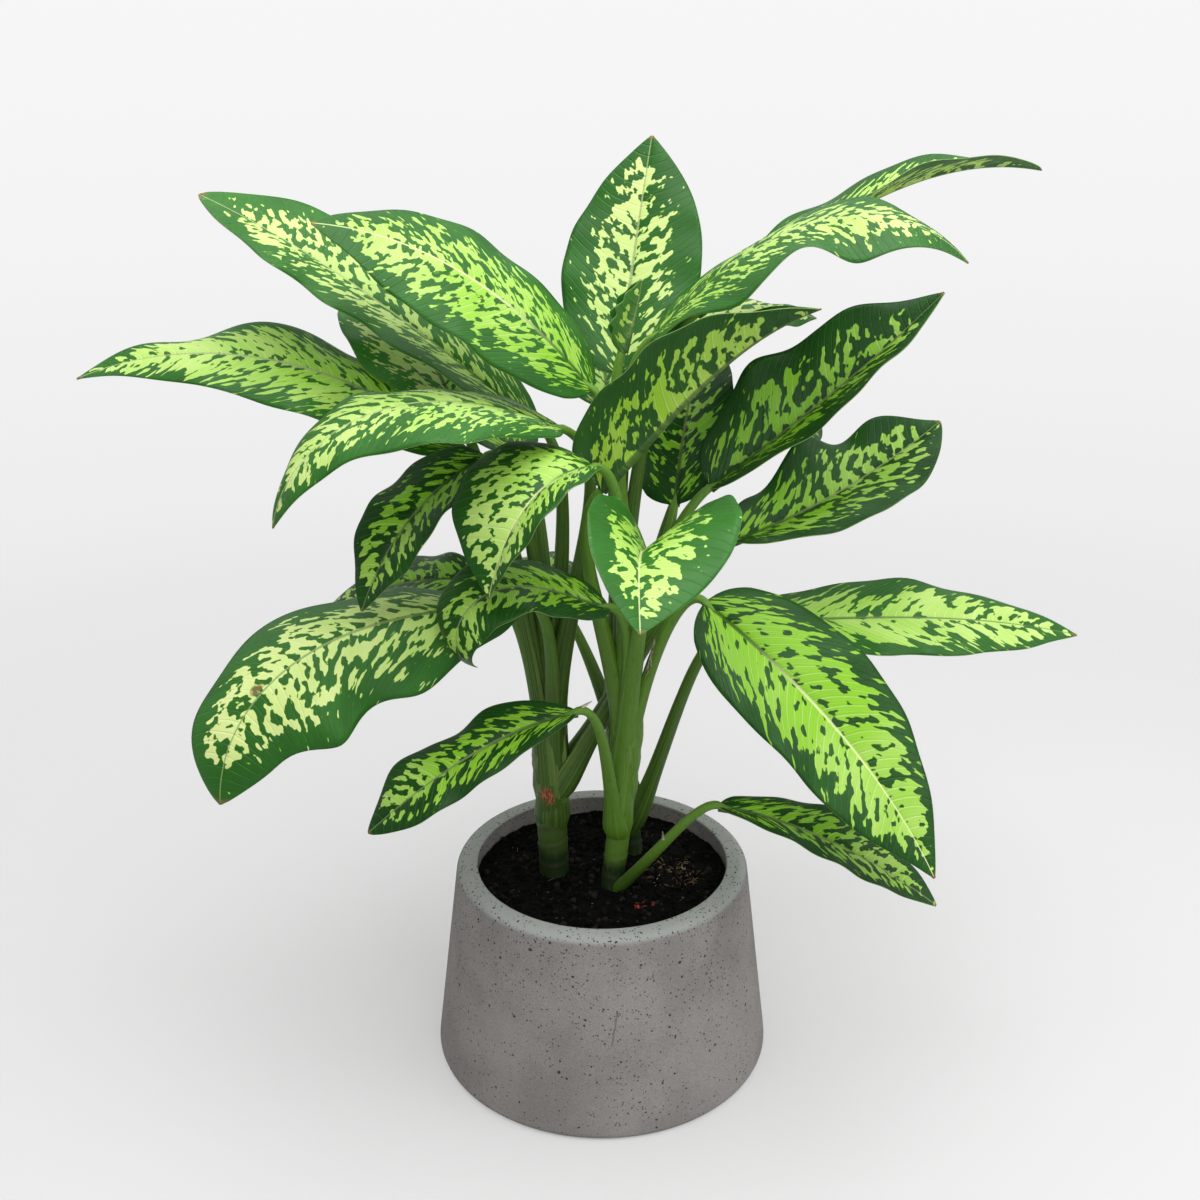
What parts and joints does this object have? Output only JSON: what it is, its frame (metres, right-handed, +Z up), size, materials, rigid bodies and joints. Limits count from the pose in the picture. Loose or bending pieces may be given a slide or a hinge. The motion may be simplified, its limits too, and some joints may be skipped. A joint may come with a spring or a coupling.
{
  "type": "potted dieffenbachia",
  "caption": "Potted dieffenbachia: a bushy house plant with blotched, arching leaves on upright canes, in a low tapered concrete pot filled with soil.",
  "frame": {"origin": "centre of the pot's underside", "axes": "+Z up out of the pot, -Y towards the front, +X to the right seen from the front"},
  "size_m": [0.6612, 0.4875, 0.626],
  "materials": {
    "pot": "matt cast concrete, warm grey, with fine dark pits",
    "soil": "moist dark potting soil, crumbly",
    "stalk": "smooth living stem, satin",
    "leaf": "living leaf blade, dark green with yellow-green and cream blotches, satin"
  },
  "bodies": {
    "root": {"pot": "pot", "soil": "soil", "shoot_left": "stalk", "shoot_front": "stalk", "shoot_back": "stalk", "leaf_01": "leaf", "leaf_02": "leaf", "leaf_03": "leaf", "leaf_04": "leaf", "leaf_05": "leaf", "leaf_06": "leaf", "leaf_07": "leaf", "leaf_08": "leaf", "leaf_09": "leaf", "leaf_10": "leaf", "leaf_11": "leaf", "leaf_12": "leaf", "leaf_13": "leaf", "leaf_14": "leaf", "leaf_15": "leaf", "leaf_16": "leaf", "leaf_17": "leaf", "leaf_18": "leaf", "leaf_19": "leaf", "leaf_20": "leaf", "leaf_21": "leaf", "leaf_22": "leaf", "leaf_23": "leaf", "leaf_24": "leaf", "leaf_25": "leaf", "leaf_26": "leaf", "leaf_27": "leaf", "young_leaf": "leaf"}
  },
  "joints": []
}
